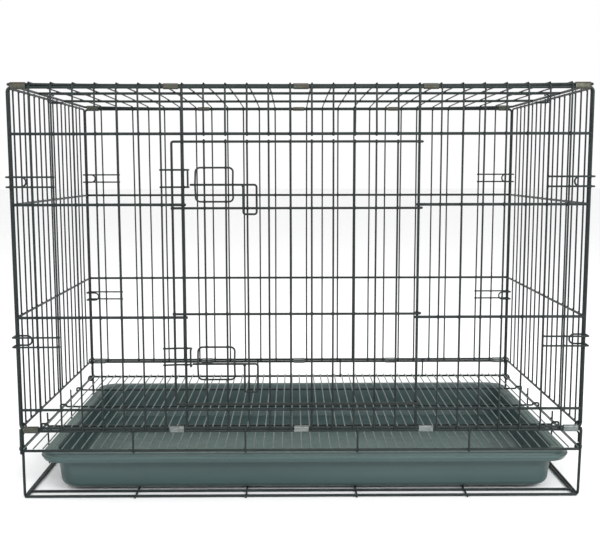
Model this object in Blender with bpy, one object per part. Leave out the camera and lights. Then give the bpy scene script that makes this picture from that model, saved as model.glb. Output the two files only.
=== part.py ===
"""Folding wire rabbit cage on a raised wire base, with a slide-out tray.

Metres, +Z up, the front faces -Y. The origin is on the floor, under the middle of the whole cage.
The round wires are drawn as flat gratings and six-sided rods of the same thickness.
"""

from math import cos, radians, sin

import bmesh
import bpy
from mathutils import Vector

# ---- Driving dimensions -------------------------------------------------------------------------
WIDTH = 0.762             # between the middles of the two edge wires of a long panel
DEPTH = 0.440             # between the front panel's plane and the back panel's
FRONT_REACH = 0.0125      # how far the latch guides stand out in front of the front panel's plane
BACK_REACH = 0.0045       # how far the corner hooks stand out behind the back panel's plane

GAP = 0.0003              # left between pieces that touch
RAIL = 0.0036             # rails, edge wires and the wires of the base
POST = 0.0034             # the two posts beside the doorway
UPRIGHT = 0.0022          # the close upright wires
END_RAIL = 0.0030         # rails of the two folding end panels
DOOR_RAIL = 0.0032        # rails of the door
LOOP_WIRE = 0.0024        # hooks, keepers, guides and handles
ROD = 0.0034              # latch rods
FLOOR_WIRE = 0.0020       # wires of the floor grid

UPRIGHTS = 28             # uprights across a long panel, counted from 0 on the left
PITCH = WIDTH / (UPRIGHTS - 1)
DOOR_POST_LEFT = 8        # upright that is the doorway's left post
DOOR_POST_RIGHT = 19      # upright that carries the door's hinge eyes
END_UPRIGHTS = 18         # uprights across an end panel
END_INSET = 0.007         # from a long panel's plane to an end panel's edge wire

# Heights of rails, at their middles
Z_RACK = RAIL / 2
Z_FLOOR_RAIL = 0.0680
Z_BASE_RAIL = 0.0955
Z_PANEL_BOTTOM = 0.0995
Z_SILL = 0.1250
Z_LOWER_RAIL = 0.2515
Z_UPPER_RAIL = 0.4020
Z_HEADER = 0.4945
Z_PANEL_TOP = 0.5542
Z_ROOF = 0.5582
Z_END_BOTTOM = 0.0998
Z_END_TOP = 0.5535
Z_DOOR_RAILS = (0.1337, 0.2567, 0.3976, 0.4842)
Z_LATCHES = {"lower": 0.1897, "upper": 0.4283}
Z_HOOKS = {"lower": 0.2190, "upper": 0.4320}

# ---- Sizes worked out from the driving dimensions -----------------------------------------------
Y_FRONT = -DEPTH / 2 + (FRONT_REACH - BACK_REACH) / 2
Y_BACK = Y_FRONT + DEPTH
Y_MIDDLE = (Y_FRONT + Y_BACK) / 2
X_EDGE = WIDTH / 2
EYE_RADIUS = 0.0042                        # of the door's hinge eyes, at the middle of the wire
Y_DOOR = Y_FRONT - EYE_RADIUS
Y_ROD = Y_DOOR - DOOR_RAIL / 2 - 0.0004 - ROD / 2
Y_KEEPER_BAR = Y_ROD - ROD / 2 - 0.0005 - LOOP_WIRE / 2
Y_GUIDE = Y_DOOR - DOOR_RAIL / 2 - GAP - LOOP_WIRE / 2
HOOK_STAND = RAIL / 2 + GAP + LOOP_WIRE / 2  # from a panel's plane to the hook prongs on it

COLOURS = {
    "coated_wire": ((0.030, 0.036, 0.032, 1), 0.42, 0.0),
    "door_wire": ((0.034, 0.040, 0.036, 1), 0.42, 0.0),
    "floor_wire": ((0.46, 0.50, 0.49, 1), 0.38, 0.9),
    "zinc_clip": ((0.33, 0.37, 0.36, 1), 0.40, 0.9),
    "tray_plastic": ((0.065, 0.100, 0.097, 1), 0.45, 0.0),
}


def upright_x(number):
    """X of an upright of a long panel; a fraction lies between two uprights."""
    return -X_EDGE + number * PITCH


def clear_scene():
    for thing in list(bpy.data.objects):
        bpy.data.objects.remove(thing, do_unlink=True)


def new_collection(name):
    collection = bpy.data.collections.new(name)
    bpy.context.scene.collection.children.link(collection)
    return collection


def finish_material(name, kind):
    """A material of one of the named finishes, for one object."""
    colour, roughness, metallic = COLOURS[kind]
    material = bpy.data.materials.new(name)
    material.use_nodes = True
    shader = material.node_tree.nodes["Principled BSDF"]
    shader.inputs["Base Color"].default_value = colour
    shader.inputs["Roughness"].default_value = roughness
    shader.inputs["Metallic"].default_value = metallic
    return material


def add_object(name, data, kind, origin, rotation=(0, 0, 0)):
    thing = bpy.data.objects.new(name, data)
    thing.location = origin
    thing.rotation_euler = rotation
    data.materials.append(finish_material(name, kind))
    PARTS.objects.link(thing)
    return thing


def hang(thing, pivot):
    """Parents an object to an empty that isn't turned, and leaves it where it is."""
    thing.parent = pivot
    thing.location = Vector(thing.location) - Vector(pivot.location)
    return thing


def add_pivot(name, origin, parent=None):
    pivot = bpy.data.objects.new(name, None)
    pivot.empty_display_size = 0.02
    pivot.location = origin
    PARTS.objects.link(pivot)
    if parent is not None:
        hang(pivot, parent)
    return pivot


def as_helper(thing):
    """Moves an object to the cutters, where it only serves another object's Boolean."""
    PARTS.objects.unlink(thing)
    HELPERS.objects.link(thing)
    thing.hide_render = True
    thing.display_type = "WIRE"
    return thing


def curve_to_mesh(thing):
    """The same object as a mesh whose caps are welded on."""
    bpy.context.view_layer.update()
    evaluated = thing.evaluated_get(bpy.context.evaluated_depsgraph_get())
    mesh = bpy.data.meshes.new_from_object(evaluated)
    work = bmesh.new()
    work.from_mesh(mesh)
    bmesh.ops.remove_doubles(work, verts=work.verts, dist=1e-6)
    work.to_mesh(mesh)
    work.free()
    name, world = thing.name, thing.matrix_world.copy()
    collection = thing.users_collection[0]
    bpy.data.objects.remove(thing, do_unlink=True)
    solid = bpy.data.objects.new(name, mesh)
    solid.matrix_world = world
    collection.objects.link(solid)
    return solid


def join_on(body, helper):
    """Unites a helper with the body, as one solid."""
    union = body.modifiers.new("join_" + helper.name, "BOOLEAN")
    union.operation = "UNION"
    union.solver = "EXACT"
    union.object = as_helper(helper)


# ---- Wire and outline tools ---------------------------------------------------------------------
UPRIGHT_PLANE = (radians(90), 0, 0)              # outline x is X, outline y is Z
SIDE_PLANE = (radians(90), 0, radians(90))       # outline x is Y, outline y is Z
LEVEL_PLANE = (0, 0, 0)                          # outline x is X, outline y is Y


def flat_shape(name, outlines, thickness, kind, origin, rotation):
    """A flat piece from closed outlines; those inside the first are holes."""
    curve = bpy.data.curves.new(name, "CURVE")
    curve.dimensions = "2D"
    curve.fill_mode = "BOTH"
    curve.extrude = thickness / 2
    for outline in outlines:
        spline = curve.splines.new("POLY")
        spline.points.add(len(outline) - 1)
        for point, (x, y) in zip(spline.points, outline):
            point.co = (x, y, 0, 1)
        spline.use_cyclic_u = True
    return add_object(name, curve, kind, origin, rotation)


def rectangle(left, bottom, right, top):
    return [(left, bottom), (right, bottom), (right, top), (left, top)]


def grating(name, columns, rows, thickness, kind, origin, rotation):
    """Welded wires as one flat grating. Columns and rows are (place, wire width) from the origin."""
    (left, left_width), (right, right_width) = columns[0], columns[-1]
    (bottom, bottom_width), (top, top_width) = rows[0], rows[-1]
    outlines = [rectangle(left - left_width / 2, bottom - bottom_width / 2,
                          right + right_width / 2, top + top_width / 2)]
    for (x1, wide1), (x2, wide2) in zip(columns, columns[1:]):
        for (y1, tall1), (y2, tall2) in zip(rows, rows[1:]):
            outlines.append(rectangle(x1 + wide1 / 2, y1 + tall1 / 2, x2 - wide2 / 2, y2 - tall2 / 2))
    return flat_shape(name, outlines, thickness, kind, origin, rotation)


def rounded_rectangle(left, bottom, right, top, radius, steps):
    """Corner arcs of a rectangle, counter-clockwise."""
    corners = ((right - radius, bottom + radius, -90), (right - radius, top - radius, 0),
               (left + radius, top - radius, 90), (left + radius, bottom + radius, 180))
    points = []
    for x, y, start in corners:
        for step in range(steps + 1):
            angle = radians(start + 90 * step / steps)
            points.append((x + radius * cos(angle), y + radius * sin(angle)))
    return points


def bent_wire(name, points, diameter, kind, origin, closed=False):
    """A six-sided wire along points given from the origin."""
    curve = bpy.data.curves.new(name, "CURVE")
    curve.dimensions = "3D"
    curve.bevel_depth = diameter / 2
    curve.bevel_resolution = 1
    curve.use_fill_caps = True
    spline = curve.splines.new("POLY")
    spline.points.add(len(points) - 1)
    for point, place in zip(spline.points, points):
        point.co = (*place, 1)
    spline.use_cyclic_u = closed
    return add_object(name, curve, kind, origin)


def bend(corners, radius, steps=2):
    """A path through the corners, each inner one rounded to the radius."""
    corners = [Vector(corner) for corner in corners]
    path = [corners[0]]
    for before, corner, after in zip(corners, corners[1:], corners[2:]):
        into = (corner - before).normalized()
        out = (after - corner).normalized()
        reach = radius * math_tan_half(into, out)
        start, end = corner - into * reach, corner + out * reach
        for step in range(steps + 1):
            share = step / steps
            path.append(start.lerp(corner, share).lerp(corner.lerp(end, share), share))
    path.append(corners[-1])
    return path


def math_tan_half(into, out):
    """Tangent of half the turn between two directions."""
    turn = into.angle(out)
    return sin(turn / 2) / cos(turn / 2)


# ---- Long panels, roof and end panels -----------------------------------------------------------
def uprights(first, last, edge_left, edge_right):
    """Columns for the uprights first to last, the outer two with their own wire widths."""
    widths = [edge_left] + [UPRIGHT] * (last - first - 1) + [edge_right]
    return [(upright_x(first + step), width) for step, width in enumerate(widths)]


def rails(*heights):
    return [(height, RAIL) for height in heights]


def build_front_panel():
    """The welded front panel in four pieces round its doorway."""
    plane = dict(thickness=RAIL, kind="coated_wire", origin=(0, Y_FRONT, 0), rotation=UPRIGHT_PLANE)
    beside_door = rails(Z_PANEL_BOTTOM, Z_SILL, Z_LOWER_RAIL, Z_UPPER_RAIL, Z_HEADER, Z_PANEL_TOP)
    grating("front_panel_left", uprights(0, DOOR_POST_LEFT, RAIL, POST), beside_door, **plane)
    grating("front_panel_right", uprights(DOOR_POST_RIGHT, UPRIGHTS - 1, POST, RAIL), beside_door, **plane)
    inner = [(upright_x(number), UPRIGHT) for number in range(DOOR_POST_LEFT + 1, DOOR_POST_RIGHT)]
    weld = POST / 2 + GAP + UPRIGHT / 2
    ends = [upright_x(DOOR_POST_LEFT) + weld, upright_x(DOOR_POST_RIGHT) - weld]
    columns = [(ends[0], UPRIGHT)] + inner + [(ends[1], UPRIGHT)]
    grating("front_panel_header", columns, rails(Z_HEADER, Z_PANEL_TOP), **plane)
    grating("front_panel_sill", columns, rails(Z_PANEL_BOTTOM, Z_SILL), **plane)


def build_back_panel():
    heights = rails(Z_PANEL_BOTTOM, Z_LOWER_RAIL, Z_UPPER_RAIL, Z_PANEL_TOP)
    grating("back_panel", uprights(0, UPRIGHTS - 1, RAIL, RAIL), heights, RAIL, "coated_wire",
            (0, Y_BACK, 0), UPRIGHT_PLANE)


def build_roof_panel():
    third = DEPTH / 3
    rows = [(-DEPTH / 2, RAIL), (-third / 2, RAIL), (third / 2, RAIL), (DEPTH / 2, RAIL)]
    grating("roof_panel", uprights(0, UPRIGHTS - 1, RAIL, RAIL), rows, RAIL, "coated_wire",
            (0, Y_MIDDLE, Z_ROOF), LEVEL_PLANE)


def end_upright_y(number):
    """Y of an end panel's upright, from the middle of the cage."""
    span = DEPTH - 2 * END_INSET
    return -span / 2 + number * span / (END_UPRIGHTS - 1)


def build_end_panel(side, sign):
    """An end panel, which folds inwards about its own bottom rail."""
    hinge = (sign * X_EDGE, Y_MIDDLE, Z_END_BOTTOM)
    widths = [END_RAIL] + [UPRIGHT] * (END_UPRIGHTS - 2) + [END_RAIL]
    columns = [(end_upright_y(number), width) for number, width in enumerate(widths)]
    heights = [Z_END_BOTTOM, Z_LOWER_RAIL, Z_UPPER_RAIL, Z_END_TOP]
    rows = [(height - Z_END_BOTTOM, END_RAIL) for height in heights]
    panel = grating(side + "_end_panel", columns, rows, END_RAIL, "coated_wire", hinge, SIDE_PLANE)
    hang(panel, add_pivot(side + "_end_hinge_axis", hinge))


# ---- Hooks that hold the end panels up ----------------------------------------------------------
HOOK_HALF = 0.0065        # half the distance between a hook's two prongs
HOOK_TIP = 0.0040         # how far the prongs reach past the panel's edge wire
HOOK_RETURN = 0.0170      # how far the bight comes back inside
HOOK_BEND = 0.0024


def hook_path(outside, inside):
    """Half of a hook as (along, across, apart): prong, turn round the edge wire, bight.

    Along is towards the outside of the cage from the panel's edge wire, across is from the panel
    into the cage, and apart is the distance from the hook's middle line.
    """
    start = (-2 * PITCH - 0.002, outside, HOOK_HALF)
    turn_out = (HOOK_TIP, outside, HOOK_HALF)
    turn_in = (HOOK_TIP, inside, HOOK_HALF)
    bight = (-HOOK_RETURN, inside, HOOK_HALF)
    middle = (-HOOK_RETURN, inside, 0)
    return bend([start, turn_out, turn_in, bight, middle], HOOK_BEND)[:-1]


def build_hook(name, origin, along, across, apart, outside, inside):
    """A hook of one bent wire; the three directions are unit vectors."""
    half = hook_path(outside, inside)
    whole = half + [Vector((a, b, -c)) for a, b, c in reversed(half)]
    points = [Vector(along) * a + Vector(across) * b + Vector(apart) * c for a, b, c in whole]
    bent_wire(name, points, LOOP_WIRE, "coated_wire", origin)


def build_corner_hooks():
    inside = END_INSET + END_RAIL / 2 + 0.0006 + LOOP_WIRE / 2
    for face, y, inwards in (("front", Y_FRONT, 1), ("back", Y_BACK, -1)):
        for side, sign in (("left", -1), ("right", 1)):
            for level, z in Z_HOOKS.items():
                build_hook(f"hook_{face}_{side}_{level}", (sign * X_EDGE, y, z), (sign, 0, 0),
                           (0, inwards, 0), (0, 0, 1), -HOOK_STAND, inside)


def build_roof_hooks():
    """One hook on each end of the roof, between two uprights of the end panel."""
    inside = Z_ROOF - Z_END_TOP + END_RAIL / 2 + 0.0010 + LOOP_WIRE / 2
    for side, sign in (("left", -1), ("right", 1)):
        build_hook(f"roof_hook_{side}", (sign * X_EDGE, Y_MIDDLE, Z_ROOF), (sign, 0, 0),
                   (0, 0, -1), (0, 1, 0), -HOOK_STAND, inside)


# ---- Sheet clips that hinge the panels together -------------------------------------------------
CLIP_LENGTH = 0.0195
CLIP_SHEET = 0.0008
CLIP_CELLS = (0, 7, 13, 19, 26)      # the gaps between uprights that hold a clip


def clip_outlines(half_width, z_low, z_high):
    """Outer and inner outline of a clip round two rails, one above the other."""
    outlines = []
    for grow in (CLIP_SHEET, 0):
        wide, low, high = half_width + grow, z_low - grow, z_high + grow
        outlines.append(rounded_rectangle(-wide, low, wide, high, GAP + grow, 1))
    return outlines


def build_long_clips():
    half = RAIL / 2 + GAP
    levels = {"base": (Z_BASE_RAIL, Z_PANEL_BOTTOM), "roof": (Z_PANEL_TOP, Z_ROOF)}
    for face, y in (("front", Y_FRONT), ("back", Y_BACK)):
        for level, (lower, upper) in levels.items():
            outlines = clip_outlines(half, lower - half, upper + half)
            for number, cell in enumerate(CLIP_CELLS, start=1):
                flat_shape(f"clip_{face}_{level}_{number}", outlines, CLIP_LENGTH, "zinc_clip",
                           (upright_x(cell + 0.5), y, 0), SIDE_PLANE)


# ---- Wire eyes that the end panels turn in --------------------------------------------------------
END_EYE = 0.0039             # radius of an eye, at the middle of its wire
END_EYE_INSET = 0.0114       # from a long panel's plane to the eye
SHANK_INSET = 0.0072         # from a long panel's plane to the shank behind the leg
SHANK_FOOT, SHANK_BEND = 0.0760, 0.0880


def end_eye_path(inwards):
    """A shank up the back of a leg, which bends into the cage and closes round the bottom rail."""
    eye_y = (END_EYE_INSET - SHANK_INSET) * inwards
    path = [(0, 0, SHANK_FOOT), (0, 0, SHANK_BEND), (END_EYE, eye_y, Z_END_BOTTOM - 0.0050)]
    for step in range(11):
        angle = radians(28 * step)
        path.append((END_EYE * cos(angle), eye_y, Z_END_BOTTOM + END_EYE * sin(angle)))
    return path


def build_end_eyes():
    for side, sign in (("left", -1), ("right", 1)):
        for face, y, inwards in (("front", Y_FRONT, 1), ("back", Y_BACK, -1)):
            points = [(-sign * x, y, z) for x, y, z in end_eye_path(inwards)]
            bent_wire(f"end_eye_{side}_{face}", points, LOOP_WIRE, "coated_wire",
                      (sign * X_EDGE, y + SHANK_INSET * inwards, 0))


# ---- Door and latches ---------------------------------------------------------------------------
DOOR_LEFT = -0.0138        # door's left wire, from the doorway's left post
EYE_STEPS = 9


def eye_outline():
    """A hinge eye and the end of its rail, seen from above, from the post's middle."""
    outer, inner = EYE_RADIUS + LOOP_WIRE / 2, EYE_RADIUS - LOOP_WIRE / 2
    turn = [radians(-90 + 275 * step / EYE_STEPS) for step in range(EYE_STEPS + 1)]
    outside = [(outer * cos(angle), outer * sin(angle)) for angle in turn]
    inside = [(inner * cos(angle), inner * sin(angle)) for angle in reversed(turn)]
    return [(-PITCH, -outer)] + outside + inside + [(-PITCH, -inner)]


def build_door(pivot):
    post = upright_x(DOOR_POST_RIGHT)
    places = [upright_x(DOOR_POST_LEFT) + DOOR_LEFT]
    places += [upright_x(number) for number in range(DOOR_POST_LEFT + 1, DOOR_POST_RIGHT)]
    widths = [DOOR_RAIL] + [UPRIGHT] * (len(places) - 1)
    columns = [(x - post, width) for x, width in zip(places, widths)]
    rows = [(z, DOOR_RAIL) for z in Z_DOOR_RAILS]
    lattice = grating("door", columns, rows, DOOR_RAIL, "door_wire", (post, Y_DOOR, 0), UPRIGHT_PLANE)
    door = curve_to_mesh(lattice)
    for number, z in enumerate(Z_DOOR_RAILS):
        eye = flat_shape(f"eye_{number}", [eye_outline()], LOOP_WIRE, "door_wire",
                         (post, Y_FRONT, z), LEVEL_PLANE)
        join_on(door, curve_to_mesh(eye))
    hang(door, pivot)


# Places along X, from the doorway's left post
KEEPER_START = -PITCH - 0.002
KEEPER_BAR = 0.0076
GUIDE_LEFT, GUIDE_RIGHT = 0.0169, 0.0663
ROD_NOSE, ROD_END = 0.0099, 0.0778
HANDLE_RIGHT = 0.0982
GUIDE_HALF = 0.0225
HANDLE_DROP = 0.0385
KEEPER_UP, KEEPER_DOWN = 0.0196, 0.0034     # the two prongs, above and below the rod


def build_keeper(level, z):
    """The fixed wire staple that the rod slides behind."""
    inner = RAIL / 2 + GAP + LOOP_WIRE / 2
    forward = Y_KEEPER_BAR - Y_FRONT
    corners = []
    for height in (KEEPER_UP, -KEEPER_DOWN):
        prong = [(KEEPER_START, inner, height), (KEEPER_BAR, inner, height), (KEEPER_BAR, forward, height)]
        corners += prong if not corners else reversed(prong)
    bent_wire(f"latch_keeper_{level}", bend(corners, 0.0022), LOOP_WIRE, "coated_wire",
              (upright_x(DOOR_POST_LEFT), Y_FRONT, z))


def build_guide(level, z, pivot):
    """The wire ring on the door that the rod slides through; its sides arch over the rod."""
    arch = Y_ROD - ROD / 2 - 0.0006 - LOOP_WIRE / 2 - Y_GUIDE
    ring = []
    for x, turn in ((GUIDE_LEFT, 1), (GUIDE_RIGHT, -1)):
        inward = 0.0060 * turn
        side = [(x + inward, 0, -GUIDE_HALF), (x, 0, -GUIDE_HALF + 0.006), (x, 0, -0.008),
                (x, arch, -0.003), (x, arch, 0.003), (x, 0, 0.008),
                (x, 0, GUIDE_HALF - 0.006), (x + inward, 0, GUIDE_HALF)]
        ring += side if turn == 1 else reversed(side)
    hang(bent_wire(f"latch_guide_{level}", ring, LOOP_WIRE, "door_wire",
                   (upright_x(DOOR_POST_LEFT), Y_GUIDE, z), closed=True), pivot)


def build_rod(level, z, slide):
    """A straight rod made from a cylinder laid along X."""
    mesh = bpy.data.meshes.new(f"latch_rod_{level}")
    work = bmesh.new()
    bmesh.ops.create_cone(work, cap_ends=True, segments=12, radius1=ROD / 2, radius2=ROD / 2,
                          depth=ROD_END - ROD_NOSE)
    work.to_mesh(mesh)
    work.free()
    middle = upright_x(DOOR_POST_LEFT) + (ROD_NOSE + ROD_END) / 2
    rod = add_object(f"latch_rod_{level}", mesh, "door_wire", (middle, Y_ROD, z), (0, radians(90), 0))
    hang(rod, slide)


def build_handle(level, z, swing):
    """The flat loop that hangs from the rod's end and turns about the rod."""
    half = LOOP_WIRE / 2
    left, right = ROD_END + GAP, HANDLE_RIGHT
    outer = rounded_rectangle(left, -HANDLE_DROP - half, right, half, 0.0040, 3)
    hole = rounded_rectangle(left + LOOP_WIRE, -HANDLE_DROP + half, right - LOOP_WIRE, -half, 0.0020, 2)
    handle = flat_shape(f"latch_handle_{level}", [outer, hole], LOOP_WIRE, "door_wire",
                        (upright_x(DOOR_POST_LEFT), Y_ROD, z), UPRIGHT_PLANE)
    hang(handle, swing)


def build_door_and_latches():
    hinge = add_pivot("door_hinge_axis", (upright_x(DOOR_POST_RIGHT), Y_FRONT, 0))
    build_door(hinge)
    for level, z in Z_LATCHES.items():
        build_keeper(level, z)
        build_guide(level, z, hinge)
        slide = add_pivot(f"latch_{level}_slide_axis", (upright_x(DOOR_POST_LEFT), Y_ROD, z))
        swing = add_pivot(f"latch_{level}_swing_axis", (upright_x(DOOR_POST_LEFT), Y_ROD, z))
        build_rod(level, z, slide)
        build_handle(level, z, swing)
        hang(swing, slide)
        hang(slide, hinge)


# ---- Base, floor and tray -----------------------------------------------------------------------
SIDE_START = RAIL / 2 + GAP            # the side frames begin just behind the front band
TRAY_RAIL_SETBACK = 0.0200             # second rack rail, behind the first


def build_base_bands():
    """The front and back bands of the base, between the floor rail and the top rail."""
    columns = [(-X_EDGE, RAIL)] + [(-X_EDGE + WIDTH * step / 5, UPRIGHT) for step in range(1, 5)]
    columns += [(X_EDGE, RAIL)]
    for face, y in (("front", Y_FRONT), ("back", Y_BACK)):
        grating(f"base_{face}_band", columns, rails(Z_FLOOR_RAIL, Z_BASE_RAIL), RAIL, "coated_wire",
                (0, y, 0), UPRIGHT_PLANE)


SIDE_POST_TIP = 0.0800                 # top of the side frames' two inner posts


def build_base_sides():
    """A side frame holds two legs, the bottom rail, the floor rail and two posts between them."""
    leg, half = DEPTH / 2 - SIDE_START - RAIL / 2, RAIL / 2
    columns = [(-leg, RAIL), (-leg / 3, UPRIGHT), (leg / 3, UPRIGHT), (leg, RAIL)]
    tops = [Z_BASE_RAIL + half, SIDE_POST_TIP, SIDE_POST_TIP, Z_BASE_RAIL + half]
    outer = [(leg + half, 0), (-leg - half, 0)]
    for (y, wide), top in zip(columns, tops):
        outer += [(y - wide / 2, Z_FLOOR_RAIL + half), (y - wide / 2, top),
                  (y + wide / 2, top), (y + wide / 2, Z_FLOOR_RAIL + half)]
    outer = outer[:2] + outer[3:-1]
    outlines = [outer]
    for (y1, wide1), (y2, wide2) in zip(columns, columns[1:]):
        outlines.append(rectangle(y1 + wide1 / 2, RAIL, y2 - wide2 / 2, Z_FLOOR_RAIL - half))
    for side, sign in (("left", -1), ("right", 1)):
        flat_shape(f"base_{side}_frame", outlines, RAIL, "coated_wire",
                   (sign * X_EDGE, Y_MIDDLE, 0), SIDE_PLANE)


def build_tray_rack():
    """The level grid on the floor that the tray slides on."""
    side = X_EDGE - RAIL - GAP
    end = DEPTH / 2 - SIDE_START - RAIL / 2
    columns = [(-side, RAIL)] + [(-X_EDGE + WIDTH * step / 5, UPRIGHT) for step in range(1, 5)]
    columns += [(side, RAIL)]
    places = (-end, -end + TRAY_RAIL_SETBACK, end - TRAY_RAIL_SETBACK, end)
    grating("tray_rack", columns, [(y, RAIL) for y in places], RAIL, "coated_wire",
            (0, Y_MIDDLE, Z_RACK), LEVEL_PLANE)


FLOOR_CELLS = 58
Z_FLOOR_GRID = Z_FLOOR_RAIL + RAIL / 2 + GAP + FLOOR_WIRE / 2
STIFFENER = 0.0026
STIFFENER_SETBACK = 0.0060     # of the stiffeners, from even quarters of the depth


def build_floor_grid():
    """Close wires from front to back, on three stiffeners that their outer wires carry."""
    half_x = X_EDGE - RAIL / 2 - GAP - FLOOR_WIRE / 2
    half_y = DEPTH / 2 - RAIL / 2 - GAP - FLOOR_WIRE / 2
    columns = [(-half_x + 2 * half_x * cell / FLOOR_CELLS, FLOOR_WIRE) for cell in range(FLOOR_CELLS + 1)]
    rows = [(-half_y, FLOOR_WIRE), (half_y, FLOOR_WIRE)]
    grid = grating("floor_grid", columns, rows, FLOOR_WIRE, "floor_wire",
                   (0, Y_MIDDLE, Z_FLOOR_GRID), LEVEL_PLANE)
    grid = curve_to_mesh(grid)
    grid_bottom = -FLOOR_WIRE / 2
    top, bottom = grid_bottom - 0.0006, grid_bottom - 0.0006 - STIFFENER
    shoe = half_x - 0.0035
    outline = [(-half_x, bottom), (half_x, bottom), (half_x, 0), (shoe, 0), (shoe, top),
               (-shoe, top), (-shoe, 0), (-half_x, 0)]
    for number in range(1, 4):
        y = Y_FRONT + DEPTH * number / 4 + STIFFENER_SETBACK
        bar = flat_shape(f"stiffener_{number}", [outline], STIFFENER, "floor_wire",
                         (0, y, Z_FLOOR_GRID), UPRIGHT_PLANE)
        join_on(grid, curve_to_mesh(bar))


TRAY_HALF_WIDTH = 0.3683       # at the rim
TRAY_X = 0.0055                # the tray sits a little to the right on its rack
TRAY_FRONT_GAP, TRAY_BACK_GAP = 0.0040, 0.0190
TRAY_BOTTOM, TRAY_TOP = 0.0041, 0.0612
TRAY_WALL = 0.0022
RIM_WIDTH, RIM_DROP = 0.0180, 0.0135
FLOOR_INSET = 0.0225           # of the walls' foot, from the rim's edge


def ring_of(half_x, half_y, inset, radius, z):
    """A rounded rectangle set in from the rim, as points at one height."""
    wide, deep = half_x - inset, half_y - inset
    return [(x, y, z) for x, y in rounded_rectangle(-wide, -deep, wide, deep, radius, 4)]


def build_tray():
    """A shell lofted through rounded rectangles: outside up to the rim, then down the inside."""
    deep = (DEPTH - TRAY_FRONT_GAP - TRAY_BACK_GAP) / 2
    middle = Y_FRONT + TRAY_FRONT_GAP + deep
    profile = [                                   # inset from the rim, corner radius, height
        (FLOOR_INSET + 0.0070, 0.022, TRAY_BOTTOM),
        (FLOOR_INSET, 0.026, TRAY_BOTTOM + 0.0060),
        (RIM_WIDTH, 0.028, TRAY_TOP - RIM_DROP),
        (RIM_WIDTH, 0.028, TRAY_TOP - TRAY_WALL),
        (TRAY_WALL, 0.028, TRAY_TOP - TRAY_WALL),
        (TRAY_WALL, 0.028, TRAY_TOP - RIM_DROP),
        (0, 0.030, TRAY_TOP - RIM_DROP),
        (0, 0.030, TRAY_TOP),
        (RIM_WIDTH + TRAY_WALL, 0.026, TRAY_TOP),
        (RIM_WIDTH + TRAY_WALL, 0.026, TRAY_TOP - RIM_DROP),
        (FLOOR_INSET + TRAY_WALL, 0.024, TRAY_BOTTOM + 0.0070),
        (FLOOR_INSET + TRAY_WALL + 0.0060, 0.019, TRAY_BOTTOM + TRAY_WALL),
    ]
    mesh = bpy.data.meshes.new("tray")
    work = bmesh.new()
    rings = []
    for inset, radius, z in profile:
        points = ring_of(TRAY_HALF_WIDTH, deep, inset, radius, z)
        rings.append([work.verts.new(point) for point in points])
    for lower, upper in zip(rings, rings[1:]):
        for step in range(len(lower)):
            after = (step + 1) % len(lower)
            work.faces.new((lower[step], lower[after], upper[after], upper[step]))
    work.faces.new(reversed(rings[0]))
    work.faces.new(rings[-1])
    bmesh.ops.recalc_face_normals(work, faces=work.faces)
    work.to_mesh(mesh)
    work.free()
    tray = add_object("tray", mesh, "tray_plastic", (TRAY_X, middle, 0))
    hang(tray, add_pivot("tray_slide_axis", (0, Y_FRONT, 0)))


clear_scene()
PARTS = new_collection("wire_rabbit_cage")
HELPERS = new_collection("helpers")
build_front_panel()
build_back_panel()
build_roof_panel()
for end_side, end_sign in (("left", -1), ("right", 1)):
    build_end_panel(end_side, end_sign)
build_corner_hooks()
build_roof_hooks()
build_long_clips()
build_end_eyes()
build_door_and_latches()
build_base_bands()
build_base_sides()
build_tray_rack()
build_floor_grid()
build_tray()
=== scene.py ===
"""Folding wire rabbit cage: the looks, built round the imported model.

Every wire is drawn round, at the place that its CAD node gives, with welds, bends and tips.
Metres, +Z up, the front faces -Y.
"""

import math
import random

import bpy
import numpy as np
from mathutils import Matrix, Vector


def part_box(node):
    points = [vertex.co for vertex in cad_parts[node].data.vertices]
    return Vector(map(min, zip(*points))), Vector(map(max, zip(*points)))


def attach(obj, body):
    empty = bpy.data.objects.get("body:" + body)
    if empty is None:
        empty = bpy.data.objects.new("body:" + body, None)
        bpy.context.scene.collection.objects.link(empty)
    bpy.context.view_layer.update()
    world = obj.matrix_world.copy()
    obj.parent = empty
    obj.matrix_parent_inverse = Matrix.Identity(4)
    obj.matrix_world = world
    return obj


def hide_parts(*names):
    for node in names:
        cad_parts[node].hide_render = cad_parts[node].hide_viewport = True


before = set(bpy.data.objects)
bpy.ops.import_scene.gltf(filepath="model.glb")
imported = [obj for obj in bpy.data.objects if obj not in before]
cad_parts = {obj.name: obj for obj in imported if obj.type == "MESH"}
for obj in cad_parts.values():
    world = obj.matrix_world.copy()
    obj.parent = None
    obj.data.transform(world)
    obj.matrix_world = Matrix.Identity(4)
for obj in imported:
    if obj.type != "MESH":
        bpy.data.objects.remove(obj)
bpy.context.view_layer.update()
RANDOM = random.Random(11)

# ---- Wire sizes, as radii -----------------------------------------------------------------------
RAIL_R = 0.00190
POST_R = 0.00175
UPRIGHT_R = 0.00125
BESIDE_DOOR_R = UPRIGHT_R * 0.86     # the upright that the open door swings up to
ROOF_WIRE_R = 0.00105
END_RAIL_R = 0.00160
END_UPRIGHT_R = 0.00120
DOOR_RAIL_R = 0.00160
LOOP_R = 0.00125
BOLT_R = 0.00145
FLOOR_R = 0.00095
STIFFENER_R = 0.00160
PRESSED = 0.00035          # how far two welded wires sink into each other
TIP = 0.0024               # how far a wire's end stands past the rail it is welded to
CORNER = 0.0060            # bend of a panel's frame wire
BOW = 0.00030              # how far a long wire wanders from straight
SIDES = 12
WELD_REACH = 1.75          # a weld's half length and half width, in radii of the wire across it
WELD_DEPTH = 0.95          # its half depth, in radii of the thinner wire


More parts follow.
